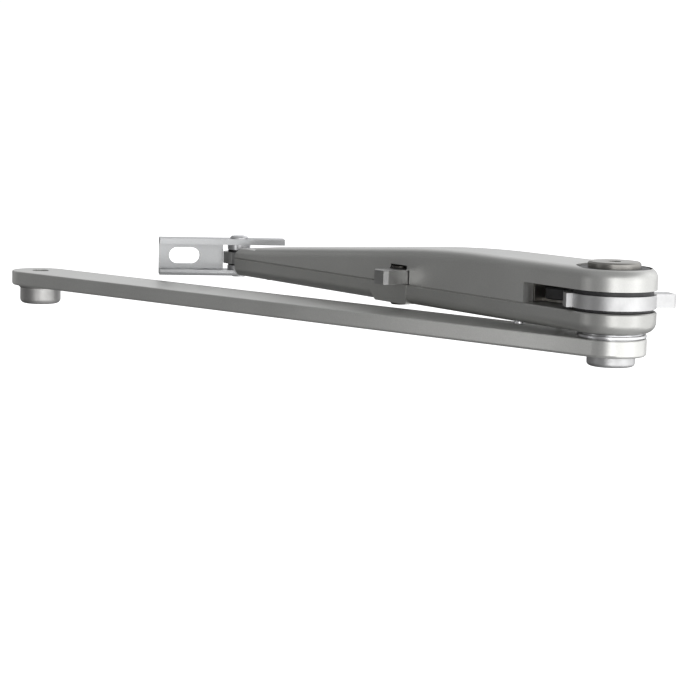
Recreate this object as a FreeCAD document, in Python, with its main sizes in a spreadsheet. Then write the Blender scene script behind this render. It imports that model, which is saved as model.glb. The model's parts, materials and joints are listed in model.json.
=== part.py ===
"""Heavy duty door closer arm with a sprung stop and a hold-open lever.

Row frame, millimetres: the origin is on the closer spindle's axis, level with the main arm's top
face.  +X runs along the main arm to the elbow, +Z is up.  The forearm lies above the main arm,
folded back over it, and the shoe that is screwed to the door frame hangs on the forearm's far end.

Forearm pieces are drawn in the forearm's own frame: +x from the elbow to the shoe, +y towards the
hold-open lever.  Shoe pieces are drawn about the shoe pivot: +x along the shoe, +y to its wall face.
"""
import FreeCAD, Part
import math
import os

import Sketcher

Vector = FreeCAD.Vector

DIMENSIONS = {
    # plan of the two arms
    "arm_length": 340.0, "arm_width": 28.0, "arm_thickness": 7.0, "arm_edge": 0.3,
    "arm_lower_round": 1.2, "forearm_length": 262.0, "forearm_end": 251.0, "fold_angle": 168.0,
    "shoe_angle": 48.0,
    # closer spindle hub, under the main arm
    "hub_radius": 10.0, "hub_bottom": -16.1, "hub_round": 2.3, "hub_flare": 1.4,
    "socket_width": 11.0, "socket_top": -3.2, "spindle_screw_radius": 4.1,
    # elbow stack, heights above the main arm's top face
    "stud_radius": 7.0, "stud_head_radius": 9.7, "stud_head_bottom": -11.3,
    "stud_head_round": 1.5, "spacer_radius": 13.9, "spacer_neck": 12.3, "spacer_top": 2.1,
    "flange_low": 0.4, "flange_high": 1.7, "flange_corner": 0.25,
    "ear_radius": 17.4, "plate_bottom": 2.4, "parting": 10.9, "plate_round": 4.5, "seam": 0.5,
    "cam_bottom": 12.2, "cam_top": 17.7, "fork_top": 19.6, "casing_top": 28.5,
    "washer_radius": 16.0, "bush_radius": 9.5, "running_gap": 0.06, "face_gap": 0.3,
    "recess_radius": 15.1, "recess_floor": 26.4, "cap_radius": 14.1, "cap_top": 27.9,
    "cap_bevel": 0.3, "screw_head_radius": 10.6, "screw_head_top": 30.4, "screw_bevel": 0.6,
    "screw_radius": 3.4, "hex_corner": 2.9, "hex_depth": 3.5,
    # stop cam
    "cam_radius": 17.2, "lobe_radius": 19.8, "lobe_start": 128.0, "lobe_end": 236.0,
    "tab_reach": 25.0, "tab_width": 10.0, "tab_angle": 54.0, "tab_corner": 1.0,
    "key_width": 3.0, "key_depth": 3.0,
    # forearm casing
    "end_half_width": 10.1, "casing_low": 15.9, "slope_start": 92.0, "slope_tangent": 25.0,
    "top_round": 4.2, "shelf_start": 235.0, "shelf_drop": 0.1, "core_lap": 0.5, "rod_play": 0.4,
    "fork_depth": 35.2, "fork_wall": 2.8, "core_height": 15.2,
    "guide_end": 54.0, "plunger_back": 49.5, "plunger_half_width": 8.4, "plunger_start": 37.0,
    "spring_radius": 6.4, "wire_radius": 1.05, "spring_bore": 6.9, "seat_start": 94.0,
    "seat_end": 98.0, "rod_radius": 3.4, "rod_end": 107.0,
    # roller
    "roller_centre": 28.1, "roller_radius": 8.0, "roller_bottom": 12.7, "roller_top": 17.5,
    "roller_bevel": 0.5, "roller_pin_radius": 2.4, "tine_radius": 4.2,
    # hold-open lever
    "lever_along": 122.0, "lever_pivot_side": 10.8, "lever_shift": 3.2, "lever_width": 9.6,
    "lever_reach": 25.2, "lever_back": 4.5, "lever_corner": 1.6, "lever_top": 17.4,
    "lever_edge": 0.4, "nose_side": 1.5, "nose_width": 6.6, "lever_pin_radius": 2.5,
    "lug_start": 113.5, "lug_end": 139.5, "lug_bottom": 2.3, "lug_depth": 7.0, "lug_proud": 0.15,
    "lug_slope": 3.6, "lever_pin_bottom": 1.6, "lever_pin_top": 18.9,
    "way_near": 8.5, "way_far": 3.2, "way_wall": 2.9, "way_room": 3.0, "way_undercut": 1.2,
    "rivet_reach": 1.4, "rivet_bevel": 0.5, "clip_reach": 1.2, "clip_sheet": 0.8, "clip_room": 0.4,
    "arch_radius": 6.2, "arch_height": 1.5, "arch_shift": 3.4, "flat_start": 102.5, "flat_depth": 1.3,
    # cored-out rooms in the casing
    "core_start": 146.0, "core_end": 180.0, "core_half": 7.0, "core_top": 17.5,
    "end_core_start": 192.0, "end_core_end": 214.0, "end_core_half": 6.0, "end_core_top": 15.0,
    # pivot eye and shoe
    "eye_bottom": 7.4, "eye_top": 13.0, "eye_radius": 7.6, "eye_root": 222.0,
    "eye_half_width": 6.6, "eye_bush_radius": 4.5, "eye_flange": 0.8, "pivot_radius": 3.0,
    "shoe_bottom": 1.4, "shoe_top": 19.4, "shoe_sheet": 2.8, "shoe_half_depth": 6.0,
    "shoe_left": -39.0, "shoe_right": 22.0, "shoe_bend": 1.6, "web_right": -7.5,
    "slot_centre": -26.5, "slot_length": 15.0, "slot_width": 8.0, "shoe_washer_radius": 5.6,
    "pivot_head_radius": 4.4, "pivot_head_height": 1.8, "rivet_radius": 3.4, "rivet_height": 0.6,
    # plate screws
    "plate_screw_radius": 1.9, "plate_screw_head": 2.5, "plate_screw_height": 0.9,
    "plate_screw_top": 16.0, "thread_play": 0.02, "screw_slot_length": 3.4,
    "screw_slot_width": 0.7,
}

# How far a cut runs past the face that it leaves through, and a distance well clear of the arm.
PAST = 1.0
CLEAR = 40.0

# Edges shorter than SHORT count as corners; faces closer than NEAR count as one.
SHORT = 1.0
NEAR = 0.01

SPRING_TURNS = 9

FOREARM_SCREWS = ((42.0, 11.9), (42.0, -11.9), (140.0, 0.0), (186.0, 0.0), (234.0, 0.0))

# The pivot screw's domed head: share of its radius, share of its height.
DOME = ((1.0, 0.3), (0.84, 0.72), (0.45, 0.95))


class Size:
    """A number together with the spreadsheet expression that gives it."""

    def __init__(self, value, text):
        self.value = value
        self.text = text

    def combine(self, other, sign, value):
        return Size(value, f"({self.text} {sign} {as_size(other).text})")

    def __add__(self, other):
        return self.combine(other, "+", self.value + as_size(other).value)

    def __sub__(self, other):
        return self.combine(other, "-", self.value - as_size(other).value)

    def __mul__(self, other):
        return self.combine(other, "*", self.value * as_size(other).value)

    def __truediv__(self, other):
        return self.combine(other, "/", self.value / as_size(other).value)

    def __neg__(self):
        return Size(-self.value, f"(-{self.text})")


def as_size(thing):
    """A Size stays as it is; a plain number becomes one."""
    return thing if isinstance(thing, Size) else Size(float(thing), repr(float(thing)))


def dim(name):
    """The driving dimension with this alias."""
    return Size(DIMENSIONS[name], f"dims.{name}")


def cos_of(name):
    return Size(math.cos(math.radians(DIMENSIONS[name])), f"cos(dims.{name})")


def sin_of(name):
    return Size(math.sin(math.radians(DIMENSIONS[name])), f"sin(dims.{name})")


def make_sheet(doc):
    sheet = doc.addObject("Spreadsheet::Sheet", "dims")
    for row, (name, value) in enumerate(DIMENSIONS.items(), start=1):
        sheet.set(f"A{row}", name)
        sheet.set(f"B{row}", str(value))
        sheet.setAlias(f"B{row}", name)
    doc.recompute()
    return sheet


def bind(thing, name, size):
    thing.setExpression(name, as_size(size).text)


# ---------------------------------------------------------------- sketches

def sketch_on(body, role, offset=0.0):
    """An empty sketch on one of the body's origin planes, shifted along the plane's normal."""
    plane = next(f for f in body.Origin.OriginFeatures if f.Role == role)
    sketch = body.newObject("Sketcher::SketchObject", f"{body.Name}_{role}_sketch")
    sketch.AttachmentSupport = [(plane, "")]
    sketch.MapMode = "FlatFace"
    bind(sketch, "AttachmentOffset.Base.z", offset)
    return sketch


def constrain(sketch, kind, *spec):
    """Add a sized constraint whose value follows the spreadsheet."""
    size = as_size(spec[-1])
    index = sketch.addConstraint(Sketcher.Constraint(kind, *spec[:-1], size.value))
    bind(sketch, f"Constraints[{index}]", size)


def hold(sketch, geometry, end, point):
    """Fix one end of a piece of geometry at a point measured from the sketch's origin."""
    axes = (("DistanceX", -2), ("DistanceY", -1))
    for (kind, axis), size in zip(axes, point):
        if as_size(size).value == 0.0:
            sketch.addConstraint(Sketcher.Constraint("PointOnObject", geometry, end, axis))
        else:
            constrain(sketch, kind, -1, 1, geometry, end, size)


def at(point):
    return Vector(as_size(point[0]).value, as_size(point[1]).value, 0)


def polygon(sketch, points):
    """A closed outline through the points."""
    first = sketch.GeometryCount
    count = len(points)
    for i in range(count):
        sketch.addGeometry(Part.LineSegment(at(points[i]), at(points[(i + 1) % count])))
    for i in range(count):
        after = first + (i + 1) % count
        sketch.addConstraint(Sketcher.Constraint("Coincident", first + i, 2, after, 1))
    for i in range(count):
        hold(sketch, first + i, 1, points[i])


def rectangle(sketch, low, high):
    polygon(sketch, [low, (high[0], low[1]), high, (low[0], high[1])])


def circle(sketch, centre, radius):
    index = sketch.addGeometry(Part.Circle(at(centre), Vector(0, 0, 1), as_size(radius).value))
    hold(sketch, index, 3, centre)
    constrain(sketch, "Radius", index, radius)


def arc(sketch, centre, radius, start, end):
    """A circular arc, counter-clockwise between two angles in degrees."""
    whole = Part.Circle(at(centre), Vector(0, 0, 1), as_size(radius).value)
    piece = Part.ArcOfCircle(whole, math.radians(start), math.radians(end))
    return sketch.addGeometry(piece)


def chain(sketch, pairs):
    """Join geometry end to end: each pair gives two (geometry, end) places that meet."""
    for one, other in pairs:
        sketch.addConstraint(Sketcher.Constraint("Coincident", *one, *other))


def stadium(sketch, left, right, radius, height=0.0):
    """A slot outline: two half circles joined by tangent lines, along the sketch's x."""
    r = as_size(radius).value
    middle = as_size(height).value
    x0 = as_size(left).value
    x1 = as_size(right).value
    end_left = arc(sketch, (left, height), radius, 90, 270)
    low = sketch.addGeometry(Part.LineSegment(Vector(x0, middle - r, 0), Vector(x1, middle - r, 0)))
    end_right = arc(sketch, (right, height), radius, -90, 90)
    top = sketch.addGeometry(Part.LineSegment(Vector(x1, middle + r, 0), Vector(x0, middle + r, 0)))
    for one, other in (((end_left, 2), (low, 1)), ((low, 2), (end_right, 1)),
                       ((end_right, 2), (top, 1)), ((top, 2), (end_left, 1))):
        sketch.addConstraint(Sketcher.Constraint("Tangent", *one, *other))
    hold(sketch, end_left, 3, (left, height))
    hold(sketch, end_right, 3, (right, height))
    constrain(sketch, "Radius", end_left, radius)


def tapered_outline(sketch, radius, end_x, end_half):
    """A round end about the origin with two tangent sides that run to a narrower square end."""
    r = as_size(radius).value
    x = as_size(end_x).value
    half = as_size(end_half).value
    reach = math.hypot(x, half)
    turn = math.degrees(math.acos(r / reach) + math.atan2(half, x))
    touch = Vector(r * math.cos(math.radians(turn)), r * math.sin(math.radians(turn)), 0)
    mirror = Vector(touch.x, -touch.y, 0)
    nose = arc(sketch, (0, 0), radius, turn, 360 - turn)
    near = sketch.addGeometry(Part.LineSegment(mirror, Vector(x, -half, 0)))
    square = sketch.addGeometry(Part.LineSegment(Vector(x, -half, 0), Vector(x, half, 0)))
    far = sketch.addGeometry(Part.LineSegment(Vector(x, half, 0), touch))
    sketch.addConstraint(Sketcher.Constraint("Tangent", nose, 2, near, 1))
    sketch.addConstraint(Sketcher.Constraint("Tangent", far, 2, nose, 1))
    chain(sketch, [((near, 2), (square, 1)), ((square, 2), (far, 1))])
    hold(sketch, nose, 3, (0, 0))
    constrain(sketch, "Radius", nose, radius)
    hold(sketch, near, 2, (end_x, -as_size(end_half)))
    hold(sketch, far, 1, (end_x, end_half))


# ---------------------------------------------------------------- features

def new_body(doc, label):
    body = doc.addObject("PartDesign::Body", label)
    body.Label = label
    return body


def pad(body, sketch, length, reverse=False):
    feature = body.newObject("PartDesign::Pad", f"{body.Name}_pad")
    feature.Profile = sketch
    feature.Reversed = reverse
    bind(feature, "Length", length)
    return feature


def pocket(body, sketch, length, reverse=False):
    """Cut the sketch's shape; the volume before and after shows that it met the solid."""
    body.Document.recompute()
    before = body.Shape.Volume
    feature = body.newObject("PartDesign::Pocket", f"{body.Name}_pocket")
    feature.Profile = sketch
    feature.Reversed = reverse
    bind(feature, "Length", length)
    body.Document.recompute()
    if body.Shape.Volume >= before - 1e-6:
        raise ValueError(f"{feature.Name} cuts nothing")
    return feature


def cut_up(body, bottom, top, draw):
    """Cut upwards between two heights whatever draw puts in a level sketch."""
    sketch = sketch_on(body, "XY_Plane", bottom)
    draw(sketch)
    return pocket(body, sketch, as_size(top) - bottom, reverse=True)


def pad_up(body, bottom, top, draw):
    """Add material upwards between two heights."""
    sketch = sketch_on(body, "XY_Plane", bottom)
    draw(sketch)
    return pad(body, sketch, as_size(top) - bottom)


def edges_where(shape, test):
    return [f"Edge{i}" for i, edge in enumerate(shape.Edges, start=1) if test(edge)]


def level_edges(shape, height):
    """The names of the edges that lie level at one height."""
    def is_level(edge):
        box = edge.BoundBox
        return abs(box.ZMin - height) < NEAR and abs(box.ZMax - height) < NEAR
    return edges_where(shape, is_level)


def dress(body, kind, size_name, names, size):
    """A Fillet or Chamfer on the named edges of the body's present shape."""
    if not names:
        raise ValueError(f"{body.Name} has no edge for its {kind}")
    base = body.Tip
    feature = body.newObject(f"PartDesign::{kind}", f"{body.Name}_{kind}")
    feature.Base = (base, names)
    bind(feature, size_name, size)
    body.Document.recompute()
    return feature


def fillet(body, names, radius):
    return dress(body, "Fillet", "Radius", names, radius)


def chamfer(body, names, size):
    return dress(body, "Chamfer", "Size", names, size)


def turned(doc, label, profile, angle=360.0):
    """A lathe-turned piece: an outline of (radius, height) points spun about the z axis."""
    body = new_body(doc, label)
    sketch = sketch_on(body, "XZ_Plane")
    polygon(sketch, profile)
    feature = body.newObject("PartDesign::Revolution", f"{label}_turn")
    feature.Profile = sketch
    feature.ReferenceAxis = (sketch, ["V_Axis"])
    feature.Angle = angle
    doc.recompute()
    return body


def ring(doc, label, inner, outer, bottom, top):
    return turned(doc, label, [(inner, bottom), (outer, bottom), (outer, top), (inner, top)])


# ---------------------------------------------------------------- places

def place(piece, base_x, base_y, angle=None):
    """Put a piece at a plan position, turned about z by an angle from the spreadsheet."""
    bind(piece, "Placement.Base.x", base_x)
    bind(piece, "Placement.Base.y", base_y)
    if angle is not None:
        piece.Placement = FreeCAD.Placement(Vector(), FreeCAD.Rotation(Vector(0, 0, 1), 1))
        bind(piece, "Placement.Rotation.Angle", angle)
    return piece


def at_elbow(piece):
    return place(piece, dim("arm_length"), 0)


def on_forearm(piece, along=0, side=0):
    """A forearm piece, whose own origin lies at a place along and beside the forearm's axis."""
    x = dim("arm_length") + cos_of("fold_angle") * along - sin_of("fold_angle") * side
    y = sin_of("fold_angle") * along + cos_of("fold_angle") * side
    return place(piece, x, y, dim("fold_angle"))


def on_shoe(piece):
    x = dim("arm_length") + cos_of("fold_angle") * dim("forearm_length")
    y = sin_of("fold_angle") * dim("forearm_length")
    return place(piece, x, y, dim("shoe_angle"))


# ---------------------------------------------------------------- main arm and elbow

def socket_outline(sketch):
    """The square that takes the closer's spindle."""
    half = dim("socket_width") / 2
    rectangle(sketch, (-half, -half), (half, half))


def main_arm(doc):
    """A flat bar with round ends, a spindle socket at one and the elbow's hole at the other."""
    body = new_body(doc, "main_arm")
    underside = -dim("arm_thickness")
    pad_up(body, underside, 0, lambda s: stadium(s, 0, dim("arm_length"), dim("arm_width") / 2))
    doc.recompute()
    chamfer(body, level_edges(body.Shape, 0.0), dim("arm_edge"))
    fillet(body, level_edges(body.Shape, -DIMENSIONS["arm_thickness"]), dim("arm_lower_round"))
    cut_up(body, underside - PAST, dim("socket_top"), socket_outline)
    cut_up(body, dim("socket_top") - PAST, PAST,
           lambda s: circle(s, (0, 0), dim("spindle_screw_radius")))
    cut_up(body, underside - PAST, PAST,
           lambda s: circle(s, (dim("arm_length"), 0), dim("stud_radius")))
    return [body]


def spindle_hub(doc):
    """The boss welded under the bar's far end; the socket runs through it into the bar."""
    radius = dim("hub_radius")
    low = dim("hub_bottom")
    top = -dim("arm_thickness")
    flare = dim("hub_flare")
    body = turned(doc, "spindle_hub", [
        (0, low), (radius, low), (radius, top - flare), (radius + flare, top), (0, top)])
    fillet(body, level_edges(body.Shape, DIMENSIONS["hub_bottom"]), dim("hub_round"))
    cut_up(body, low - PAST, top + PAST, socket_outline)
    return [body]


def elbow_stud(doc):
    """The elbow's pin: a low domed head under the bar, a tapped top end and a keyway."""
    radius = dim("stud_radius")
    head = dim("stud_head_radius")
    low = dim("stud_head_bottom")
    top = dim("recess_floor") + dim("face_gap")
    bore = dim("screw_radius")
    drill_point = dim("cam_bottom") - dim("screw_radius") / 2
    body = turned(doc, "elbow_stud", [
        (0, low), (head, low), (head, -dim("arm_thickness")), (radius, -dim("arm_thickness")),
        (radius, top), (bore, top), (bore, dim("cam_bottom")), (0, drill_point)])
    fillet(body, level_edges(body.Shape, DIMENSIONS["stud_head_bottom"]), dim("stud_head_round"))
    cut_up(body, dim("cam_bottom"), dim("cam_top"), keyway)
    return [at_elbow(body)]


def keyway(sketch):
    """The key's outline, half in the stud and half in the cam."""
    half = dim("key_width") / 2
    sunk = dim("key_depth") / 2
    rectangle(sketch, (dim("stud_radius") - sunk, -half), (dim("stud_radius") + sunk, half))


def elbow_stack(doc):
    """Spacer, washers and the cap that hold the two arms and the cam on the stud."""
    inner = dim("stud_radius") + dim("running_gap")
    neck = dim("spacer_neck")
    wide = dim("spacer_radius")
    low = dim("flange_low")
    high = dim("flange_high")
    corner = dim("flange_corner")
    spacer = turned(doc, "arm_spacer", [
        (inner, 0), (neck, 0), (neck, low), (wide - corner, low), (wide, low + corner),
        (wide, high - corner), (wide - corner, high), (neck, high), (neck, dim("spacer_top")),
        (inner, dim("spacer_top"))])
    lower = ring(doc, "lower_thrust_washer", inner, dim("washer_radius"),
                 dim("parting") + dim("face_gap"), dim("cam_bottom"))
    upper = ring(doc, "upper_thrust_washer", inner, dim("washer_radius"),
                 dim("cam_top"), dim("fork_top") - dim("face_gap"))
    cap_low = dim("recess_floor") + dim("face_gap")
    rim = dim("cap_radius")
    bevel = dim("cap_bevel")
    bore = dim("screw_radius") + dim("face_gap") * 2
    cap = turned(doc, "retaining_washer", [
        (bore, cap_low), (rim, cap_low), (rim, dim("cap_top") - bevel),
        (rim - bevel, dim("cap_top")), (bore, dim("cap_top"))])
    return [at_elbow(piece) for piece in (spacer, lower, upper, cap)]


def stud_screw(doc):
    """A wide low-headed socket screw that closes the elbow from above."""
    head = dim("screw_head_radius")
    low = dim("cap_top")
    top = dim("screw_head_top")
    shank = dim("screw_radius")
    tip = dim("cam_bottom") + dim("screw_radius") / 2
    bevel = dim("screw_bevel")
    body = turned(doc, "stud_screw", [
        (0, tip), (shank - bevel, tip), (shank, tip + bevel), (shank, low), (head, low),
        (head, top - bevel), (head - bevel, top), (0, top)])
    sketch = sketch_on(body, "XY_Plane", top)
    hexagon(sketch, dim("hex_corner"))
    pocket(body, sketch, dim("hex_depth"))
    return [at_elbow(body)]


def hexagon(sketch, corner_radius):
    angles = [math.radians(60 * i) for i in range(6)]
    polygon(sketch, [(corner_radius * round(math.cos(a), 9), corner_radius * round(math.sin(a), 9))
                     for a in angles])


def stop_cam(doc):
    """The disc that turns with the main arm: a lobe for the roller and the stop tab."""
    body = new_body(doc, "stop_cam")
    low = dim("cam_bottom")
    high = dim("cam_top")
    pad_up(body, low, high, lambda s: circle(s, (0, 0), dim("cam_radius")))
    pad_up(body, low, high, cam_lobe)
    tab = pad_up(body, low, high, cam_tab)
    doc.recompute()
    chamfer(body, edges_where(tab.Shape, is_tab_corner), dim("tab_corner"))
    cut_up(body, low - PAST, high + PAST, lambda s: circle(s, (0, 0), dim("stud_radius")))
    cut_up(body, low, high, keyway)
    return [at_elbow(body)]


def cam_lobe(sketch):
    """A sector of larger radius, drawn as a pie slice."""
    start = DIMENSIONS["lobe_start"]
    end = DIMENSIONS["lobe_end"]
    radius = DIMENSIONS["lobe_radius"]
    curve = arc(sketch, (0, 0), dim("lobe_radius"), start, end)
    tips = [Vector(radius * math.cos(math.radians(a)), radius * math.sin(math.radians(a)), 0)
            for a in (start, end)]
    one = sketch.addGeometry(Part.LineSegment(Vector(), tips[0]))
    other = sketch.addGeometry(Part.LineSegment(tips[1], Vector()))
    chain(sketch, [((one, 2), (curve, 1)), ((curve, 2), (other, 1)), ((other, 2), (one, 1))])
    hold(sketch, curve, 3, (0, 0))
    hold(sketch, one, 1, (0, 0))
    constrain(sketch, "Radius", curve, dim("lobe_radius"))
    constrain(sketch, "DistanceY", -1, 1, one, 2, sin_of("lobe_start") * dim("lobe_radius"))
    constrain(sketch, "DistanceY", -1, 1, other, 1, sin_of("lobe_end") * dim("lobe_radius"))


def cam_tab(sketch):
    """A bar from the centre out to the tab's square end."""
    along = (cos_of("tab_angle"), sin_of("tab_angle"))
    half = dim("tab_width") / 2
    reach = dim("tab_reach")
    polygon(sketch, [
        (along[1] * half, -along[0] * half),
        (along[0] * reach + along[1] * half, along[1] * reach - along[0] * half),
        (along[0] * reach - along[1] * half, along[1] * reach + along[0] * half),
        (-along[1] * half, along[0] * half)])


def is_tab_corner(edge):
    """True for the two upright edges at the tab's outer end."""
    box = edge.BoundBox
    reach = math.hypot(box.Center.x, box.Center.y)
    corner = math.hypot(DIMENSIONS["tab_reach"], DIMENSIONS["tab_width"] / 2)
    return box.ZLength > SHORT and abs(reach - corner) < NEAR


def cam_key(doc):
    """The key that makes the cam turn with the stud."""
    key = doc.addObject("Part::Box", "cam_key")
    key.Label = "cam_key"
    bind(key, "Length", dim("key_depth"))
    bind(key, "Width", dim("key_width"))
    bind(key, "Height", dim("cam_top") - dim("cam_bottom"))
    bind(key, "Placement.Base.x", dim("arm_length") + dim("stud_radius") - dim("key_depth") / 2)
    bind(key, "Placement.Base.y", -dim("key_width") / 2)
    bind(key, "Placement.Base.z", dim("cam_bottom"))
    return [key]


# ---------------------------------------------------------------- forearm

def half_width(along):
    """The forearm's half width at a distance from the elbow."""
    end = dim("forearm_end")
    return dim("ear_radius") + (dim("end_half_width") - dim("ear_radius")) * (along / end.value)


def casing_blank(body):
    """The outside of the casting: tapered in plan, low at the shoe end and level at the elbow."""
    forearm_outline(body, dim("parting"), dim("casing_top"))
    side = sketch_on(body, "XZ_Plane", CLEAR)
    sloping_cut(side)
    pocket(body, side, CLEAR * 2)
    body.Document.recompute()
    fillet(body, edges_where(body.Shape, is_casing_rim), dim("top_round"))
    chamfer(body, seam_edges(body.Shape), dim("seam"))
    cut_up(body, dim("casing_low") - dim("shelf_drop"), CLEAR, lambda s: rectangle(
        s, (dim("shelf_start"), -CLEAR), (dim("forearm_end") + PAST, CLEAR)))


def forearm_outline(body, bottom, top):
    """The forearm's plan, drawn up between two heights."""
    pad_up(body, bottom, top, lambda s: tapered_outline(
        s, dim("ear_radius"), dim("forearm_end"), dim("end_half_width")))
    body.Document.recompute()


def seam_edges(shape):
    """The outline where casing and plate meet; a small bevel there leaves a fine groove."""
    return level_edges(shape, DIMENSIONS["parting"])


def sloping_cut(sketch):
    """All that lies above the casing's sloping back, with a long arc where it levels out."""
    top = DIMENSIONS["casing_top"]
    low = DIMENSIONS["casing_low"]
    end = DIMENSIONS["forearm_end"]
    kink = DIMENSIONS["slope_start"]
    slope = math.atan2(top - low, end - kink)
    tangent = DIMENSIONS["slope_tangent"]
    radius = tangent / math.tan(slope / 2)
    level_x = kink - tangent
    slope_x = kink + tangent * math.cos(slope)
    slope_z = top - tangent * math.sin(slope)
    mid = slope / 2
    bend = Part.Arc(Vector(level_x, top, 0),
                    Vector(level_x + radius * math.sin(mid), top - radius * (1 - math.cos(mid)), 0),
                    Vector(slope_x, slope_z, 0))
    curve = sketch.addGeometry(bend)
    tail = Vector(end + PAST, low - PAST * math.tan(slope), 0)
    corners = [Vector(slope_x, slope_z, 0), tail, Vector(end + PAST, top + PAST, 0),
               Vector(level_x, top + PAST, 0), Vector(level_x, top, 0)]
    lines = [sketch.addGeometry(Part.LineSegment(a, b)) for a, b in zip(corners, corners[1:])]
    for one, other in zip(lines, lines[1:]):
        sketch.addConstraint(Sketcher.Constraint("Coincident", one, 2, other, 1))
    sketch.addConstraint(Sketcher.Constraint("Block", curve))
    for line in lines:
        sketch.addConstraint(Sketcher.Constraint("Block", line))


def is_casing_rim(edge):
    """True for the edges round the casing's top face, except the one across the shoe end."""
    box = edge.BoundBox
    if box.ZMin < DIMENSIONS["casing_low"] - NEAR:
        return False
    if box.ZLength > SHORT and box.XLength < SHORT:
        return False
    across = box.YLength > SHORT and box.XLength < NEAR
    inner_seam = across and box.XMin < DIMENSIONS["forearm_end"] - SHORT
    return not inner_seam


def fork_outline(sketch):
    """The slot that takes the cam and the roller, with the plunger's way behind it."""
    out = CLEAR
    mouth = dim("fork_depth")
    inside = half_width(dim("fork_depth")) - dim("fork_wall")
    back = dim("plunger_start") + dim("face_gap") * 2
    guide = dim("plunger_half_width") + dim("face_gap")
    end = dim("guide_end")
    polygon(sketch, [
        (-out, -out), (mouth, -out), (mouth, -inside), (back, -inside), (back, -guide),
        (end, -guide), (end, guide), (back, guide), (back, inside), (mouth, inside),
        (mouth, out), (-out, out)])


def lever_way(sketch):
    """The opening in the front wall, and the room inside where the lever's nose swings."""
    near = dim("lever_along") - dim("way_near")
    far = dim("lever_along") + dim("way_far")
    inner = half_width(dim("lever_along")) - dim("way_wall")
    room = dim("way_room")
    low = dim("nose_side") - room
    undercut = dim("way_undercut")
    polygon(sketch, [
        (near, CLEAR), (near, inner), (near - undercut, inner - undercut), (near - undercut, low),
        (far + room, low), (far + room, inner), (far, inner + room), (far, CLEAR)])


def forearm_casing(doc):
    body = new_body(doc, "forearm_casing")
    casing_blank(body)
    parting = dim("parting")
    cut_up(body, parting, dim("fork_top"), fork_outline)
    cut_up(body, dim("fork_top"), CLEAR, lambda s: circle(s, (0, 0), dim("bush_radius")))
    cut_up(body, dim("recess_floor"), CLEAR, lambda s: circle(s, (0, 0), dim("recess_radius")))
    spring_room(body)
    rod = sketch_on(body, "YZ_Plane", dim("seat_end") - dim("core_lap"))
    circle(rod, (0, dim("core_height")), dim("rod_radius") + dim("rod_play"))
    pocket(body, rod, dim("lever_along") - dim("seat_end"), reverse=True)
    lever_openings(body)
    cut_up(body, parting, dim("eye_top"), eye_room)
    cut_up(body, parting, dim("core_top"), lambda s: rectangle(
        s, (dim("core_start"), -dim("core_half")), (dim("core_end"), dim("core_half"))))
    cut_up(body, parting, dim("end_core_top"), lambda s: rectangle(
        s, (dim("end_core_start"), -dim("end_core_half")),
        (dim("end_core_end"), dim("end_core_half"))))
    cut_up(body, parting, dim("plate_screw_top"), screw_circles(dim("plate_screw_radius")))
    return [on_forearm(body)]


def lever_openings(body):
    """The lever's way through the front wall, the arch over its pin and the flat beside it."""
    lintel = dim("lever_top") + dim("lever_edge")
    cut_up(body, dim("parting"), lintel, lever_way)
    side = dim("lever_pivot_side")
    arch = (dim("lever_along") - dim("arch_shift"), side)
    over = lintel + dim("arch_height")
    cut_up(body, lintel, over, lambda s: circle(s, arch, dim("arch_radius")))
    clip = dim("lever_pin_radius") + dim("clip_reach") + dim("clip_room")
    cut_up(body, lintel, over, lambda s: circle(s, (dim("lever_along"), side), clip))
    front = half_width(dim("lever_along")) - dim("flat_depth")
    cut_up(body, dim("parting"), dim("lever_top"), lambda s: rectangle(
        s, (dim("flat_start"), front), (dim("lever_along"), CLEAR)))


def eye_room(sketch):
    """The pocket that holds the pivot eye's root."""
    half = dim("eye_half_width") + dim("running_gap")
    rectangle(sketch, (dim("eye_root"), -half), (dim("forearm_end") + PAST, half))


def spring_room(body):
    """The round way for the buffer spring; casing and plate each hold a part of it."""
    start = dim("plunger_back") - dim("core_lap")
    spring = sketch_on(body, "YZ_Plane", start)
    circle(spring, (0, dim("core_height")), dim("spring_bore"))
    pocket(body, spring, dim("seat_end") - start, reverse=True)


def screw_circles(radius):
    def draw(sketch):
        for spot in FOREARM_SCREWS:
            circle(sketch, spot, radius)
    return draw


def forearm_plate(doc):
    """The flat lower half of the forearm, with its ear and the lug that carries the lever."""
    body = new_body(doc, "forearm_plate")
    low = dim("plate_bottom")
    parting = dim("parting")
    lever = (dim("lever_along"), dim("lever_pivot_side"))
    forearm_outline(body, low, parting)
    fillet(body, edges_where(body.Shape, is_plate_rim), dim("plate_round"))
    chamfer(body, seam_edges(body.Shape), dim("seam"))
    lug = pad_up(body, dim("lug_bottom"), parting, lug_outline)
    doc.recompute()
    chamfer(body, edges_where(lug.Shape, is_lug_end), dim("lug_slope"))
    past = parting + PAST
    cut_up(body, low - PAST, past, lambda s: circle(s, (0, 0), dim("bush_radius")))
    cut_up(body, low - PAST, past, lambda s: circle(s, lever, dim("lever_pin_radius")))
    spring_room(body)
    cut_up(body, dim("eye_bottom"), past, eye_room)
    cut_up(body, low - PAST, past, screw_circles(dim("plate_screw_radius")))
    return [on_forearm(body)]


def lug_outline(sketch):
    """A square-edged block in line with the plate's front, which gives the lever's pin its seat."""
    start = dim("lug_start")
    end = dim("lug_end")
    proud = dim("lug_proud")
    front_start = half_width(DIMENSIONS["lug_start"]) + proud
    front_end = half_width(DIMENSIONS["lug_end"]) + proud
    depth = dim("lug_depth")
    polygon(sketch, [
        (start, front_start - depth), (end, front_end - depth), (end, front_end),
        (start, front_start)])


def is_plate_rim(edge):
    """True for the plate's long lower edges and the round of its ear, not the square end."""
    box = edge.BoundBox
    level = abs(box.ZMax - DIMENSIONS["plate_bottom"]) < NEAR
    return level and box.XLength > SHORT


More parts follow.
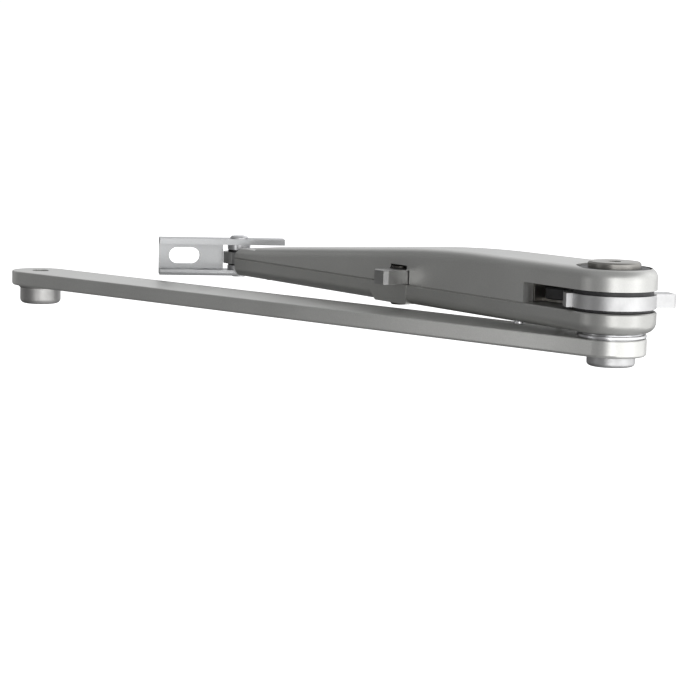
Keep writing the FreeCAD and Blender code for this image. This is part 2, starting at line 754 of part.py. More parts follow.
def is_lug_end(edge):
    """True for the lug's lower edge at the end nearer the shoe."""
    box = edge.BoundBox
    level = abs(box.ZMax - DIMENSIONS["lug_bottom"]) < NEAR and box.ZLength < NEAR
    return level and abs(box.XMin - DIMENSIONS["lug_end"]) < NEAR


def elbow_bushes(doc):
    inner = dim("stud_radius") + dim("running_gap")
    outer = dim("bush_radius")
    upper = ring(doc, "upper_elbow_bush", inner, outer, dim("fork_top"), dim("recess_floor"))
    lower = ring(doc, "lower_elbow_bush", inner, outer, dim("plate_bottom"), dim("parting"))
    return [on_forearm(upper), on_forearm(lower)]


def plate_screws(doc):
    """Round-headed screws, put in from below; one node holds them all."""
    low = DIMENSIONS["plate_bottom"]
    shank = DIMENSIONS["plate_screw_radius"] - DIMENSIONS["thread_play"]
    head = DIMENSIONS["plate_screw_head"]
    height = DIMENSIONS["plate_screw_height"]
    bottom = low - height
    reach = DIMENSIONS["plate_screw_top"] - low - DIMENSIONS["core_lap"]
    length = DIMENSIONS["screw_slot_length"]
    width = DIMENSIONS["screw_slot_width"]
    solids = []
    for x, y in FOREARM_SCREWS:
        stem = Part.makeCylinder(shank, reach, Vector(x, y, low))
        cap = Part.makeCylinder(head, height, Vector(x, y, bottom))
        rim = [e for e in cap.Edges if abs(e.BoundBox.ZMax - bottom) < NEAR]
        cap = cap.makeFillet(height / 2, rim)
        corner = Vector(x - length / 2, y - width / 2, bottom)
        slot = Part.makeBox(length, width, height / 2, corner)
        solids.append(stem.fuse(cap).removeSplitter().cut(slot))
    group = doc.addObject("Part::Feature", "plate_screws")
    group.Label = "plate_screws"
    group.Shape = Part.makeCompound(solids)
    return [on_forearm(group)]


def spring_seat(doc):
    """The collar that the buffer spring presses on; the rod slides through it."""
    seat = ring(doc, "spring_seat", dim("rod_radius") + dim("running_gap"), dim("spring_bore"),
                0, dim("seat_end") - dim("seat_start"))
    return [lay_along(seat, dim("seat_start"))]


def lay_along(piece, along):
    """Lay an upright turned piece down, so that its axis runs along the forearm's core."""
    on_forearm(piece, along)
    bind(piece, "Placement.Base.z", dim("core_height"))
    turn = FreeCAD.Rotation(Vector(0, 0, 1), DIMENSIONS["fold_angle"])
    lie = FreeCAD.Rotation(Vector(0, 1, 0), 90)
    piece.setExpression("Placement.Rotation.Angle", None)
    piece.Placement = FreeCAD.Placement(piece.Placement.Base, turn.multiply(lie))
    return piece


def buffer_spring(doc):
    """The stop's compression spring, wound round the plunger's rod."""
    wire = DIMENSIONS["wire_radius"]
    mean = DIMENSIONS["spring_radius"] - wire
    start = DIMENSIONS["plunger_back"] + wire
    length = DIMENSIONS["seat_start"] - start - wire
    helix = Part.makeHelix(length / SPRING_TURNS, length, mean)
    section = Part.Wire(Part.Circle(Vector(mean, 0, 0), Vector(0, 1, 0), wire).toShape())
    coil = Part.Wire(helix.Edges).makePipeShell([section], True, True)
    spring = doc.addObject("Part::Feature", "buffer_spring")
    spring.Label = "buffer_spring"
    spring.Shape = coil
    return [lay_along(spring, start)]


def pivot_eye(doc):
    """The flat eye at the forearm's end, held between casing and plate."""
    body = new_body(doc, "pivot_eye")
    low = dim("eye_bottom")
    high = dim("eye_top")
    root = dim("eye_root") + dim("face_gap")
    centre = (dim("forearm_length"), 0)
    pad_up(body, low, high, lambda s: rectangle(
        s, (root, -dim("eye_half_width")), (dim("forearm_length"), dim("eye_half_width"))))
    pad_up(body, low, high, lambda s: circle(s, centre, dim("eye_radius")))
    cut_up(body, low - PAST, high + PAST, lambda s: circle(s, centre, dim("eye_bush_radius")))
    hold_screw = (FOREARM_SCREWS[-1][0], 0)
    cut_up(body, low - PAST, high + PAST,
           lambda s: circle(s, hold_screw, dim("plate_screw_radius")))
    return [on_forearm(body)]


def eye_bushes(doc):
    """Two flanged bushes, pressed into the eye from above and below."""
    inner = dim("pivot_radius") + dim("running_gap")
    outer = dim("eye_bush_radius")
    middle = (dim("eye_bottom") + dim("eye_top")) / 2
    low = dim("eye_bottom")
    high = dim("eye_top")
    sheet = dim("eye_flange")
    flange = outer + sheet
    lower = turned(doc, "lower_eye_bush", [
        (inner, low - sheet), (flange, low - sheet), (flange, low), (outer, low),
        (outer, middle), (inner, middle)])
    upper = turned(doc, "upper_eye_bush", [
        (inner, middle), (outer, middle), (outer, high), (flange, high),
        (flange, high + sheet), (inner, high + sheet)])
    return [on_forearm(piece, dim("forearm_length")) for piece in (lower, upper)]


# ---------------------------------------------------------------- plunger and roller

def plunger(doc):
    """The sprung block: two tines hold the roller's pin, the rod guides the spring."""
    body = new_body(doc, "plunger")
    gap = dim("face_gap")
    low = dim("parting") + gap
    high = dim("fork_top") - gap
    half = dim("plunger_half_width")
    start = dim("plunger_start")
    back = dim("plunger_back")
    pad_up(body, low, high, lambda s: rectangle(s, (start, -half), (back, half)))
    tine_half = dim("tine_radius")
    pin_x = dim("roller_centre")
    for bottom, top in ((low, dim("roller_bottom") - gap), (dim("roller_top") + gap, high)):
        pad_up(body, bottom, top,
               lambda s: rectangle(s, (pin_x, -tine_half), (start + PAST, tine_half)))
        pad_up(body, bottom, top, lambda s: circle(s, (pin_x, 0), tine_half))
    rod = sketch_on(body, "YZ_Plane", back - PAST)
    circle(rod, (0, dim("core_height")), dim("rod_radius"))
    pad(body, rod, dim("rod_end") - back + PAST)
    cut_up(body, low - PAST, high + PAST,
           lambda s: circle(s, (pin_x, 0), dim("roller_pin_radius")))
    return [on_forearm(body)]


def roller_and_pin(doc):
    pin_radius = dim("roller_pin_radius")
    low = dim("parting") + dim("face_gap")
    high = dim("fork_top") - dim("face_gap")
    pin = turned(doc, "roller_pin", [(0, low), (pin_radius, low), (pin_radius, high), (0, high)])
    inner = pin_radius + dim("running_gap")
    outer = dim("roller_radius")
    bottom = dim("roller_bottom")
    top = dim("roller_top")
    bevel = dim("roller_bevel")
    roller = turned(doc, "roller", [
        (inner, bottom), (outer - bevel, bottom), (outer, bottom + bevel), (outer, top - bevel),
        (outer - bevel, top), (inner, top)])
    return [on_forearm(piece, dim("roller_centre")) for piece in (pin, roller)]


# ---------------------------------------------------------------- hold-open lever

def hold_open_lever(doc):
    """The block outside the arm and its nose inside; drawn about the lever's own pin."""
    body = new_body(doc, "hold_open_lever")
    low = dim("parting") + dim("face_gap")
    high = dim("lever_top")
    half = dim("lever_width") / 2
    middle = -dim("lever_shift")
    out = dim("lever_reach") - dim("lever_pivot_side")
    nose = dim("nose_side") - dim("lever_pivot_side")
    nose_half = dim("nose_width") / 2
    block = pad_up(body, low, high, lambda s: rectangle(
        s, (middle - half, -dim("lever_back")), (middle + half, out)))
    doc.recompute()
    chamfer(body, edges_where(block.Shape, is_lever_corner), dim("lever_corner"))
    pad_up(body, low, high, lambda s: rectangle(
        s, (middle - nose_half, nose), (middle + nose_half, 0)))
    cut_up(body, low - PAST, high + PAST,
           lambda s: circle(s, (0, 0), dim("lever_pin_radius") + dim("running_gap")))
    doc.recompute()
    fillet(body, edges_where(body.Shape, is_lever_top), dim("lever_edge"))
    return [on_forearm(body, dim("lever_along"), dim("lever_pivot_side"))]


def is_lever_corner(edge):
    """True for the two upright edges at the lever's outer end."""
    box = edge.BoundBox
    out = DIMENSIONS["lever_reach"] - DIMENSIONS["lever_pivot_side"]
    return box.ZLength > SHORT and abs(box.YMin - out) < NEAR


def is_lever_top(edge):
    """True for the straight top edges of the lever's outer block."""
    box = edge.BoundBox
    level = box.ZLength < NEAR and abs(box.ZMax - DIMENSIONS["lever_top"]) < NEAR
    behind = box.YMin < -DIMENSIONS["lever_back"] + NEAR
    return level and isinstance(edge.Curve, Part.Line) and not behind


def lever_fittings(doc):
    """The pin that the lever turns on, riveted under the lug, and the clip above the lever."""
    radius = dim("lever_pin_radius")
    low = dim("lever_pin_bottom")
    lug = dim("lug_bottom")
    top = dim("lever_pin_top")
    head = radius + dim("rivet_reach")
    bevel = dim("rivet_bevel")
    pin = turned(doc, "lever_pin", [
        (0, low), (head - bevel, low), (head, low + bevel), (head, lug), (radius, lug),
        (radius, top - bevel), (radius - bevel, top), (0, top)])
    clip_low = dim("lever_top") + dim("face_gap")
    clip = ring(doc, "lever_clip", radius, radius + dim("clip_reach"),
                clip_low, clip_low + dim("clip_sheet"))
    return [on_forearm(piece, dim("lever_along"), dim("lever_pivot_side")) for piece in (pin, clip)]


# ---------------------------------------------------------------- shoe

def shoe_bracket(doc):
    """A small channel: long top flange, short bottom flange, and a web with the screw slot."""
    body = new_body(doc, "shoe_bracket")
    sheet = dim("shoe_sheet")
    depth = dim("shoe_half_depth")
    low = dim("shoe_bottom")
    high = dim("shoe_top")
    left = dim("shoe_left")
    right = dim("shoe_right")
    pad_up(body, high - sheet, high, lambda s: rectangle(s, (left, -depth), (right, depth)))
    pad_up(body, low, low + sheet, lambda s: rectangle(s, (left, -depth), (0, depth)))
    pad_up(body, low, low + sheet, lambda s: circle(s, (0, 0), depth))
    web_right = dim("web_right")
    web = pad_up(body, low, high, lambda s: rectangle(s, (left, depth - sheet), (web_right, depth)))
    doc.recompute()
    fillet(body, edges_where(web.Shape, is_shoe_bend), dim("shoe_bend"))
    slot = sketch_on(body, "XZ_Plane", -depth - PAST)
    middle = (low + high) / 2
    reach = (dim("slot_length") - dim("slot_width")) / 2
    centre = dim("slot_centre")
    stadium(slot, centre - reach, centre + reach, dim("slot_width") / 2, middle)
    pocket(body, slot, sheet + PAST * 2, reverse=True)
    cut_up(body, low - PAST, high + PAST, lambda s: circle(s, (0, 0), dim("pivot_radius")))
    return [on_shoe(body)]


def is_shoe_bend(edge):
    """True for the long outer edges between the web and the two flanges."""
    box = edge.BoundBox
    at_wall = abs(box.YMin - DIMENSIONS["shoe_half_depth"]) < NEAR
    heights = (DIMENSIONS["shoe_bottom"], DIMENSIONS["shoe_top"])
    at_rim = any(abs(box.ZMin - z) < NEAR and abs(box.ZMax - z) < NEAR for z in heights)
    return at_wall and at_rim and box.XLength > SHORT


def shoe_fittings(doc):
    """The pivot screw with its riveted end, and a washer above and below the eye."""
    radius = dim("pivot_radius")
    top = dim("shoe_top")
    low = dim("shoe_bottom")
    sheet = dim("shoe_sheet")
    head = dim("pivot_head_radius")
    rise = dim("pivot_head_height")
    dome = [(head * across, top + rise * up) for across, up in DOME]
    screw = turned(doc, "pivot_screw", [
        (0, low), (radius, low), (radius, top), (head, top), *dome, (0, top + rise)])
    end = dim("rivet_radius")
    bevel = dim("rivet_height") / 2
    foot = low - dim("rivet_height")
    nut = turned(doc, "pivot_nut", [
        (0, foot), (end - bevel, foot), (end, foot + bevel), (end, low), (0, low)])
    outer = dim("shoe_washer_radius")
    gap = dim("eye_flange") + dim("face_gap")
    above = ring(doc, "upper_shoe_washer", radius, outer, dim("eye_top") + gap, top - sheet)
    below = ring(doc, "lower_shoe_washer", radius, outer, low + sheet, dim("eye_bottom") - gap)
    return [on_shoe(piece) for piece in (screw, nut, above, below)]


# ---------------------------------------------------------------- build and export

BUILDERS = (main_arm, spindle_hub, elbow_stud, elbow_stack, stud_screw, stop_cam, cam_key,
            forearm_casing, forearm_plate, elbow_bushes, plate_screws, spring_seat, buffer_spring,
            pivot_eye, eye_bushes, plunger, roller_and_pin, hold_open_lever, lever_fittings,
            shoe_bracket, shoe_fittings)


def check(doc, pieces):
    """Stop before anything is written if an object failed or a piece has no sound shape."""
    for item in doc.Objects:
        if "Invalid" in item.State or "Error" in item.State:
            raise RuntimeError(f"{item.Label} failed: {item.State}")
    for piece in pieces:
        if piece.Shape.isNull() or not piece.Shape.isValid() or not piece.Shape.Solids:
            raise RuntimeError(f"{piece.Label} has no sound shape")


def main():
    doc = FreeCAD.newDocument("door_closer_arm")
    make_sheet(doc)
    pieces = [piece for build in BUILDERS for piece in build(doc)]
    doc.recompute()
    check(doc, pieces)
    os.makedirs("parts", exist_ok=True)
    for piece in pieces:
        piece.Shape.exportStep(os.path.join("parts", f"{piece.Label}.step"))
        print(f"{piece.Label}: {len(piece.Shape.Solids)} solid(s), {piece.Shape.Volume:.1f} mm3")


main()
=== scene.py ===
"""Studio scene of the door closer arm: materials, lights, floor and camera round the CAD frame."""
import json
import math

import bpy
from mathutils import Matrix, Vector


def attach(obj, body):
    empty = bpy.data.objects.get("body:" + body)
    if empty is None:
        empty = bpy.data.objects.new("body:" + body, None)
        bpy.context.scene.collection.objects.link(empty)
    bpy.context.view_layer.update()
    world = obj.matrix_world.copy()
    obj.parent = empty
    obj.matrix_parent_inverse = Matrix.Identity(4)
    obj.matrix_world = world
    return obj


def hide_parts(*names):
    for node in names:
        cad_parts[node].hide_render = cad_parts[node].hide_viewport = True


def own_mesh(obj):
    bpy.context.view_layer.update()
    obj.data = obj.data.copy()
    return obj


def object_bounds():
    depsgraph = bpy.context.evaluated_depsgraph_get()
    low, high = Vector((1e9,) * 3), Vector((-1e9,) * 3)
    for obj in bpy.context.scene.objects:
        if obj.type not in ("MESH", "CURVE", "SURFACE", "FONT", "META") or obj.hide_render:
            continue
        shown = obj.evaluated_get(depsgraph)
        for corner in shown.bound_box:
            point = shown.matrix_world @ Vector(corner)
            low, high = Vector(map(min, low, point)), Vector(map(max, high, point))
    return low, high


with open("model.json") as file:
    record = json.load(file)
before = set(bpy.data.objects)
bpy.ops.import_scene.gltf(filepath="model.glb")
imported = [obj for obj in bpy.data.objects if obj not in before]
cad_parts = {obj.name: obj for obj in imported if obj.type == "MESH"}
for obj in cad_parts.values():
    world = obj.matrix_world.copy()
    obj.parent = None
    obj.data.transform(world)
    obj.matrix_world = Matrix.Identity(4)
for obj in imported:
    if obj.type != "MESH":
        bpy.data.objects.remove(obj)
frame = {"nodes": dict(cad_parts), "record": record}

CAD_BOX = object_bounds()
NODES = frame["nodes"]
UP = Vector((0, 0, 1))
ELBOW_X = 0.340
FOLD = math.radians(168.0)           # the forearm's direction, seen from above

# strength of the world's light from each side, and the same on all sides for the base
ROOM_LEFT = 0.12
ROOM_BACK = 0.95
ROOM_TOP = 0.34
ROOM_UNDER = 0.50
ROOM_BASE = 0.09
BACKDROP = 1.04                      # brightness of the plain white that the camera sees

# power of the softboxes in watts
FRONT_POWER = 2.4
RIGHT_POWER = 0.62
KEY_POWER = 0.36
LEFT_POWER = 0.12
HUB_POWER = 0.10

# the buffer spring; lengths in metres, its ends measured from the elbow's axis
WIRE_RADIUS = 0.00105
COIL_RADIUS = 0.0064                 # to the outside of the wire
COIL_START = 0.0495
COIL_END = 0.0930
COIL_HEIGHT = 0.0152
COIL_TURNS = 9
COIL_STEPS = 40                      # short straight pieces in each turn
CLOSED_SHARE = 0.09                  # share of the wire that lies flat at each end

# the floor; lengths in metres
FLOOR_DROP = 0.14                    # how far it lies below the part
FLOOR_RADIUS = 8.0
FLOOR_GLOW = 0.9
FLOOR_ROUGHNESS = 0.9
FLOOR_DARK = (0.93, 0.93, 0.93)
FLOOR_LIGHT = (0.95, 0.95, 0.95)


# ---------------------------------------------------------------- camera

VIEW_SIDE = math.radians(40.46)      # the camera looks this far round from +Y towards -X
VIEW_DOWN = math.radians(7.31)
VIEW_ROLL = math.radians(1.44)
VIEW_DISTANCE = 0.880
VIEW_LENS = 113.7
SENSOR_WIDTH = 36.0
NEAR_CLIP = 0.01
AIM = Vector((0.2615, -0.0682, -0.0076))


def make_camera():
    """Place the camera; return the directions right and ahead, before its small roll."""
    right = Vector((math.cos(VIEW_SIDE), math.sin(VIEW_SIDE), 0))
    ahead = Vector((-math.sin(VIEW_SIDE) * math.cos(VIEW_DOWN),
                    math.cos(VIEW_SIDE) * math.cos(VIEW_DOWN), -math.sin(VIEW_DOWN)))
    up = right.cross(ahead)
    turned_right = right * math.cos(VIEW_ROLL) + up * math.sin(VIEW_ROLL)
    turned_up = up * math.cos(VIEW_ROLL) - right * math.sin(VIEW_ROLL)
    data = bpy.data.cameras.new("camera")
    data.lens = VIEW_LENS
    data.sensor_width = SENSOR_WIDTH
    data.clip_start = NEAR_CLIP
    camera = bpy.data.objects.new("camera", data)
    bpy.context.scene.collection.objects.link(camera)
    columns = Matrix((turned_right, turned_up, -ahead)).transposed().to_4x4()
    camera.matrix_world = Matrix.Translation(AIM - ahead * VIEW_DISTANCE) @ columns
    bpy.context.scene.camera = camera
    return right, ahead


# ---------------------------------------------------------------- node helpers

# sockets of the mix node when it mixes colours
MIX_ONE = 6
MIX_OTHER = 7
MIX_RESULT = 2

# cosine between the rounded and the true normal at which wear begins, and at which it is full
WEAR_BEGINS = 0.995
WEAR_FULL = 0.90


def new_material(name):
    """An empty material with its node tree and its one shader."""
    material = bpy.data.materials.new(name)
    material.use_nodes = True
    tree = material.node_tree
    shader = tree.nodes["Principled BSDF"]
    return material, tree, shader


def node(tree, kind, **inputs):
    """Add a node and set its inputs; an underscore in a name stands for a space."""
    made = tree.nodes.new(kind)
    for key, value in inputs.items():
        made.inputs[key.replace("_", " ")].default_value = value
    return made


def noise(tree, scale, detail=3.0, rough=0.5, stretch=None):
    """Noise in object space, so that it stays put on the piece; stretch squeezes it along axes."""
    coord = tree.nodes.new("ShaderNodeTexCoord")
    source = coord.outputs["Object"]
    if stretch is not None:
        mapping = tree.nodes.new("ShaderNodeMapping")
        mapping.inputs["Scale"].default_value = stretch
        tree.links.new(source, mapping.inputs["Vector"])
        source = mapping.outputs["Vector"]
    texture = node(tree, "ShaderNodeTexNoise", Scale=scale, Detail=detail, Roughness=rough)
    tree.links.new(source, texture.inputs["Vector"])
    return texture.outputs["Fac"]


def ramp(tree, value, stops):
    """Turn a 0..1 value into a colour between stops, each a position and a colour."""
    made = tree.nodes.new("ShaderNodeValToRGB")
    elements = made.color_ramp.elements
    while len(elements) < len(stops):
        elements.new(0.5)
    for element, (position, colour) in zip(elements, stops):
        element.position = position
        element.color = (*colour, 1)
    tree.links.new(value, made.inputs["Fac"])
    return made.outputs["Color"]


def spread(tree, value, low, high):
    """Map a 0..1 value to a range."""
    made = tree.nodes.new("ShaderNodeMapRange")
    made.inputs["To Min"].default_value = low
    made.inputs["To Max"].default_value = high
    tree.links.new(value, made.inputs["Value"])
    return made.outputs["Result"]


def tint(tree, factor, one, other):
    """Go from one colour's output to another, plain colour as the factor rises."""
    made = tree.nodes.new("ShaderNodeMix")
    made.data_type = "RGBA"
    tree.links.new(factor, made.inputs["Factor"])
    tree.links.new(one, made.inputs[MIX_ONE])
    made.inputs[MIX_OTHER].default_value = (*other, 1)
    return made.outputs[MIX_RESULT]


def blend(tree, one, other):
    """Half of each of two colours."""
    made = tree.nodes.new("ShaderNodeMix")
    made.data_type = "RGBA"
    made.inputs["Factor"].default_value = 0.5
    tree.links.new(one, made.inputs[MIX_ONE])
    tree.links.new(other, made.inputs[MIX_OTHER])
    return made.outputs[MIX_RESULT]


def bump(tree, shader, height, strength, distance):
    """Roughen the shader's surface by a height, without moving it."""
    made = node(tree, "ShaderNodeBump", Strength=strength, Distance=distance)
    tree.links.new(height, made.inputs["Height"])
    tree.links.new(made.outputs["Normal"], shader.inputs["Normal"])


def edge_wear(tree, width):
    """1 near edges, 0 on flat faces: the normal of a rounded copy against the true one."""
    bevel = node(tree, "ShaderNodeBevel", Radius=width)
    bevel.samples = 4
    geometry = tree.nodes.new("ShaderNodeNewGeometry")
    dot = tree.nodes.new("ShaderNodeVectorMath")
    dot.operation = "DOT_PRODUCT"
    tree.links.new(bevel.outputs["Normal"], dot.inputs[0])
    tree.links.new(geometry.outputs["Normal"], dot.inputs[1])
    made = tree.nodes.new("ShaderNodeMapRange")
    made.inputs["From Min"].default_value = WEAR_BEGINS
    made.inputs["From Max"].default_value = WEAR_FULL
    tree.links.new(dot.outputs["Value"], made.inputs["Value"])
    return made.outputs["Result"]


# ---------------------------------------------------------------- materials

PAINT_METALLIC = 0.75
PAINT_FLAKE = 0.06                   # how much lighter or darker the patches and flakes are
STEEL_DARK = 0.86                    # tone of the darker patches, as a share of the colour
STEEL_WORN = 1.1                     # and of the worn edges
STEEL_EDGE = 0.0004                  # width of the worn edges, in metres
SCRATCH_STRETCH = (1, 1, 14)         # squeezed in height, so the scratches lie level
# tones of the black plastic; on the thin washers this black is also painted shade for the gaps
# round them
NYLON_DARK = (0.010, 0.010, 0.011)
NYLON_LIGHT = (0.030, 0.030, 0.032)
BRONZE_DARK = (0.24, 0.15, 0.07)
BRONZE_LIGHT = (0.50, 0.35, 0.17)


def silver_paint(name, colour, roughness):
    """Satin aluminium paint: fine flake, a soft orange peel and slow cloudy variation."""
    material, tree, shader = new_material(name)
    dark = tuple(c * (1 - PAINT_FLAKE) for c in colour)
    light = tuple(min(1.0, c * (1 + PAINT_FLAKE)) for c in colour)
    cloud = ramp(tree, noise(tree, scale=28, detail=4), [(0.35, dark), (0.65, light)])
    flakes = ramp(tree, noise(tree, scale=2600, detail=1), [(0.40, dark), (0.62, light)])
    tree.links.new(blend(tree, cloud, flakes), shader.inputs["Base Color"])
    shader.inputs["Metallic"].default_value = PAINT_METALLIC
    rough = spread(tree, noise(tree, scale=55, detail=3), roughness - 0.05, roughness + 0.06)
    tree.links.new(rough, shader.inputs["Roughness"])
    bump(tree, shader, noise(tree, scale=900, detail=2), strength=0.10, distance=0.00012)
    return material


def turned_steel(name, colour, roughness):
    """Plated or bare turned steel: thin scratches and slightly uneven shine."""
    material, tree, shader = new_material(name)
    dark = tuple(c * STEEL_DARK for c in colour)
    bright = tuple(min(1.0, c * STEEL_WORN) for c in colour)
    tone = ramp(tree, noise(tree, scale=120, detail=5, rough=0.6), [(0.3, dark), (0.7, colour)])
    worn = tint(tree, edge_wear(tree, STEEL_EDGE), tone, bright)
    tree.links.new(worn, shader.inputs["Base Color"])
    shader.inputs["Metallic"].default_value = 1.0
    rough = spread(tree, noise(tree, scale=300, detail=4), roughness - 0.06, roughness + 0.10)
    tree.links.new(rough, shader.inputs["Roughness"])
    scratches = noise(tree, scale=1500, detail=2, stretch=SCRATCH_STRETCH)
    bump(tree, shader, scratches, strength=0.12, distance=0.00008)
    return material


def black_nylon(name):
    """Matt black plastic with a faint mottle; on the thin washers its black is also painted shade
    for the gaps round them.
    """
    material, tree, shader = new_material(name)
    tone = ramp(tree, noise(tree, scale=200, detail=4), [(0.3, NYLON_DARK), (0.7, NYLON_LIGHT)])
    tree.links.new(tone, shader.inputs["Base Color"])
    rough = spread(tree, noise(tree, scale=90, detail=3), 0.42, 0.60)
    tree.links.new(rough, shader.inputs["Roughness"])
    bump(tree, shader, noise(tree, scale=1800, detail=2), strength=0.15, distance=0.0001)
    return material


def bronze(name):
    """Sintered bronze: brown grains of uneven tone."""
    material, tree, shader = new_material(name)
    grain = noise(tree, scale=700, detail=5, rough=0.7)
    tone = ramp(tree, grain, [(0.35, BRONZE_DARK), (0.65, BRONZE_LIGHT)])
    tree.links.new(tone, shader.inputs["Base Color"])
    shader.inputs["Metallic"].default_value = 1.0
    rough = spread(tree, noise(tree, scale=500, detail=3), 0.35, 0.55)
    tree.links.new(rough, shader.inputs["Roughness"])
    bump(tree, shader, noise(tree, scale=1400, detail=3), strength=0.2, distance=0.0001)
    return material


def paint_nodes():
    """Give every piece its material, by slot and then by name; return the spring's material."""
    arm = silver_paint("arm_paint", (0.58, 0.58, 0.562), 0.38)
    casting = silver_paint("casting_paint", (0.52, 0.52, 0.505), 0.40)
    plate = silver_paint("plate_paint", (0.45, 0.45, 0.435), 0.38)
    shoe = silver_paint("shoe_paint", (0.42, 0.425, 0.43), 0.34)
    dull = turned_steel("dull_zinc", (0.43, 0.43, 0.425), 0.36)
    plated = turned_steel("plated_steel", (0.72, 0.72, 0.73), 0.30)
    satin = turned_steel("satin_steel", (0.50, 0.495, 0.485), 0.42)
    zinc = turned_steel("bright_zinc", (0.55, 0.55, 0.552), 0.46)
    # dark oxide steel; on the lever's pin and clip it is also painted shade for the hole above the
    # lever
    oxide_and_hole_shade = turned_steel("oxide_steel_hole_shade", (0.10, 0.095, 0.09), 0.42)
    ground = turned_steel("ground_steel", (0.34, 0.33, 0.31), 0.38)
    spring = turned_steel("spring_steel", (0.16, 0.16, 0.17), 0.38)
    # black plastic washers; their black is also painted shade for the gaps round them
    nylon_and_gap_shade = black_nylon("black_nylon")
    bush = bronze("bronze_bush")
    by_slot = {"arm_paint": arm, "casting_paint": casting, "plated_steel": plated,
               "ground_steel": ground, "spring_steel": spring, "black_nylon": nylon_and_gap_shade,
               "bronze": bush, "shoe_steel": shoe}
    for entry in frame["record"]["subparts"]:
        set_material(NODES[entry["node"]], by_slot[entry["material_slot"]])
    set_material(NODES["spindle_hub"], satin)
    for name in ("elbow_stud", "stop_cam"):
        set_material(NODES[name], zinc)
    for name in ("hold_open_lever", "pivot_eye"):
        set_material(NODES[name], dull)
    # the lever's pin and clip: dark oxide, darkened further as painted shade for the hole above the
    # lever
    for name in ("lever_pin", "lever_clip"):
        set_material(NODES[name], oxide_and_hole_shade)
    set_material(NODES["forearm_plate"], plate)
    set_material(NODES["retaining_washer"], nylon_and_gap_shade)
    return spring


def coil_points(core, along, start, end):
    """Places along the spring's wire; its first and last stretch stay flat at the spring's ends."""
    reach = COIL_RADIUS - WIRE_RADIUS
    side = Vector((-math.sin(FOLD), math.cos(FOLD), 0))
    steps = COIL_STEPS * COIL_TURNS
    places = []
    for index in range(steps + 1):
        share = index / steps
        turn = share * COIL_TURNS * 2 * math.pi
        rise = min(1.0, max(0.0, (share - CLOSED_SHARE) / (1 - 2 * CLOSED_SHARE)))
        place = core + along * (start + (end - start) * rise)
        place += side * (reach * math.cos(turn)) + Vector((0, 0, reach * math.sin(turn)))
        places.append(place)
    return places


def make_spring(material):
    """The buffer spring as a round-wired coil of one fixed length, in place of the CAD spring."""
    core = Vector((ELBOW_X, 0, COIL_HEIGHT))
    along = Vector((math.cos(FOLD), math.sin(FOLD), 0))
    start = COIL_START + WIRE_RADIUS
    end = COIL_END - WIRE_RADIUS
    places = coil_points(core, along, start, end)
    curve = bpy.data.curves.new("buffer_coil", "CURVE")
    curve.dimensions = "3D"
    curve.bevel_depth = WIRE_RADIUS
    curve.bevel_resolution = 5
    line = curve.splines.new("POLY")
    line.points.add(len(places) - 1)
    for point, place in zip(line.points, places):
        point.co = (*place, 1)
    coil = bpy.data.objects.new("buffer_coil", curve)
    bpy.context.scene.collection.objects.link(coil)
    bpy.ops.object.select_all(action="DESELECT")
    coil.select_set(True)
    bpy.context.view_layer.objects.active = coil
    bpy.ops.object.convert(target="MESH")
    bpy.ops.object.shade_smooth()
    set_material(coil, material)
    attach(coil, "forearm")
    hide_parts("buffer_spring")
    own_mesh(coil)


def set_material(thing, material):
    """Leave this material as the only one on an object."""
    thing.data.materials.clear()
    thing.data.materials.append(material)


# ---------------------------------------------------------------- studio

def lobe(tree, direction, axis, low, high, strength):
    """Light that rises smoothly to full strength towards one side; low and high are cosines."""
    dot = tree.nodes.new("ShaderNodeVectorMath")
    dot.operation = "DOT_PRODUCT"
    dot.inputs[1].default_value = axis
    tree.links.new(direction, dot.inputs[0])
    rise = tree.nodes.new("ShaderNodeMapRange")
    rise.interpolation_type = "SMOOTHSTEP"
    rise.inputs["From Min"].default_value = low
    rise.inputs["From Max"].default_value = high
    rise.inputs["To Max"].default_value = strength
    tree.links.new(dot.outputs["Value"], rise.inputs["Value"])
    return rise.outputs["Result"]


def add(tree, one, other):
    """The sum of two strengths."""
    made = tree.nodes.new("ShaderNodeMath")
    tree.links.new(one, made.inputs[0])
    tree.links.new(other, made.inputs[1])
    return made.outputs[0]


def room_lobes(right, level):
    """Each light's side, the cosines at which it begins and is full, and its strength."""
    front_left = (-right * 0.77 - level * 0.64).normalized()
    high_behind = (level * 0.85 + right * 0.35 + UP * 0.48).normalized()
    under_right = (right * 0.55 - level * 0.25 - UP * 0.80).normalized()
    always = (-2.0, -1.5)            # below every cosine, so full on all sides
    return (
        (front_left, 0.35, 1.0, ROOM_LEFT),
        (high_behind, 0.55, 0.97, ROOM_BACK),
        (UP, 0.15, 0.9, ROOM_TOP),
        (under_right, 0.2, 1.0, ROOM_UNDER),
        (UP, *always, ROOM_BASE),
    )


def make_world(right, level):
    """Plain white for the camera; soft light on the part from four sides, a little from all."""
    world = bpy.data.worlds.new("studio")
    bpy.context.scene.world = world
    world.use_nodes = True
    tree = world.node_tree
    tree.nodes.clear()
    direction = tree.nodes.new("ShaderNodeTexCoord").outputs["Generated"]
    total = None
    for axis, low, high, strength in room_lobes(right, level):
        part = lobe(tree, direction, axis, low, high, strength)
        total = part if total is None else add(tree, total, part)
    fill = node(tree, "ShaderNodeBackground", Color=(0.985, 0.99, 1.0, 1))
    tree.links.new(total, fill.inputs["Strength"])
    white = node(tree, "ShaderNodeBackground", Color=(1, 1, 1, 1), Strength=BACKDROP)
    path = tree.nodes.new("ShaderNodeLightPath")
    choose = tree.nodes.new("ShaderNodeMixShader")
    output = tree.nodes.new("ShaderNodeOutputWorld")
    tree.links.new(path.outputs["Is Camera Ray"], choose.inputs[0])
    tree.links.new(fill.outputs[0], choose.inputs[1])
    tree.links.new(white.outputs[0], choose.inputs[2])
    tree.links.new(choose.outputs[0], output.inputs[0])


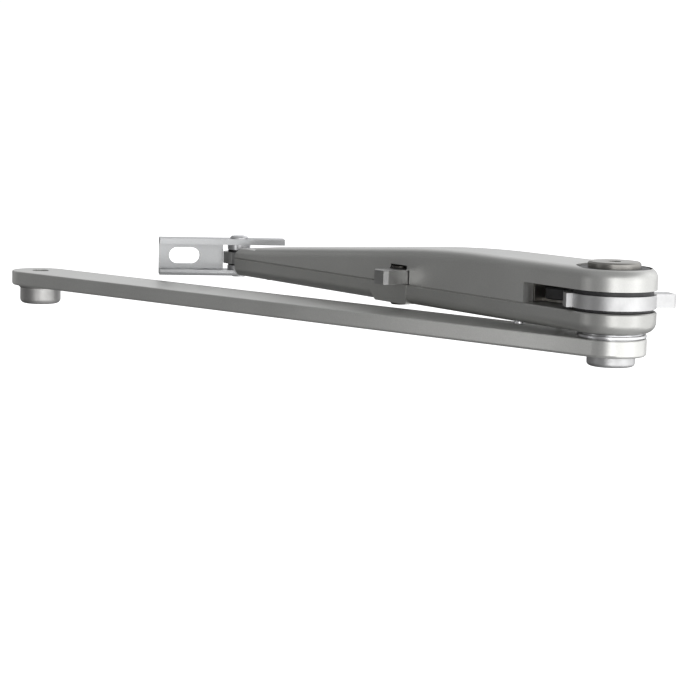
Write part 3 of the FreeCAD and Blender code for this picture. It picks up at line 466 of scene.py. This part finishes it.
def softbox(name, place, aim, size, power):
    """A lit rectangle that faces a point and that the camera doesn't see."""
    data = bpy.data.lights.new(name, "AREA")
    data.shape = "RECTANGLE"
    data.size, data.size_y = size
    data.energy = power
    light = bpy.data.objects.new(name, data)
    bpy.context.scene.collection.objects.link(light)
    light.location = place
    light.rotation_mode = "QUATERNION"
    light.rotation_quaternion = (aim - place).to_track_quat("-Z", "Y")
    light.visible_camera = False


def round_about(centre, right, level, degrees, distance, height):
    """A place round a centre: 0 degrees is towards the camera, 90 to the right as it sees it."""
    angle = math.radians(degrees)
    flat = right * math.sin(angle) - level * math.cos(angle)
    return centre + flat * distance + UP * height


def make_lights(right, level):
    """Panels before and to the right of the elbow, and small ones by the shoe and the hub."""
    elbow = Vector((ELBOW_X, 0, 0.01))
    hub = Vector((0, 0, -0.01))
    shoe = Vector((CAD_BOX[0].x, CAD_BOX[1].y, 0.01))
    # name, what it faces, degrees round it, distance, height above it, size, power
    panels = (
        ("front_panel", elbow, 24, 0.5, -0.04, (0.8, 0.6), FRONT_POWER),
        ("key_panel", elbow, -8, 0.5, -0.02, (0.14, 0.5), KEY_POWER),
        ("right_panel", elbow, 88, 0.25, 0.02, (0.4, 0.4), RIGHT_POWER),
        ("left_panel", shoe, -116, 0.35, 0.03, (0.3, 0.4), LEFT_POWER),
        ("hub_panel", hub, -14, 0.3, -0.02, (0.1, 0.2), HUB_POWER),
    )
    for name, aim, degrees, distance, height, size, power in panels:
        place = round_about(aim, right, level, degrees, distance, height)
        softbox(name, place, aim, size, power)


def make_floor():
    """A pale disc well below the part, wide enough to fill the view."""
    depth = CAD_BOX[0].z - FLOOR_DROP
    bpy.ops.mesh.primitive_circle_add(vertices=96, radius=FLOOR_RADIUS, fill_type="NGON",
                                      location=(ELBOW_X / 2, 0, depth))
    floor = bpy.context.object
    floor.name = "floor"
    material, tree, shader = new_material("pale_floor")
    tone = ramp(tree, noise(tree, scale=3, detail=2), [(0.3, FLOOR_DARK), (0.7, FLOOR_LIGHT)])
    tree.links.new(tone, shader.inputs["Base Color"])
    tree.links.new(tone, shader.inputs["Emission Color"])
    shader.inputs["Emission Strength"].default_value = FLOOR_GLOW
    shader.inputs["Roughness"].default_value = FLOOR_ROUGHNESS
    set_material(floor, material)
    floor.visible_glossy = False
    floor.visible_diffuse = False
    floor.visible_shadow = False


# ---------------------------------------------------------------- making

bpy.context.scene.view_settings.view_transform = "Standard"
right, ahead = make_camera()
level = Vector((ahead.x, ahead.y, 0)).normalized()
make_spring(paint_nodes())
make_world(right, level)
make_lights(right, level)
make_floor()
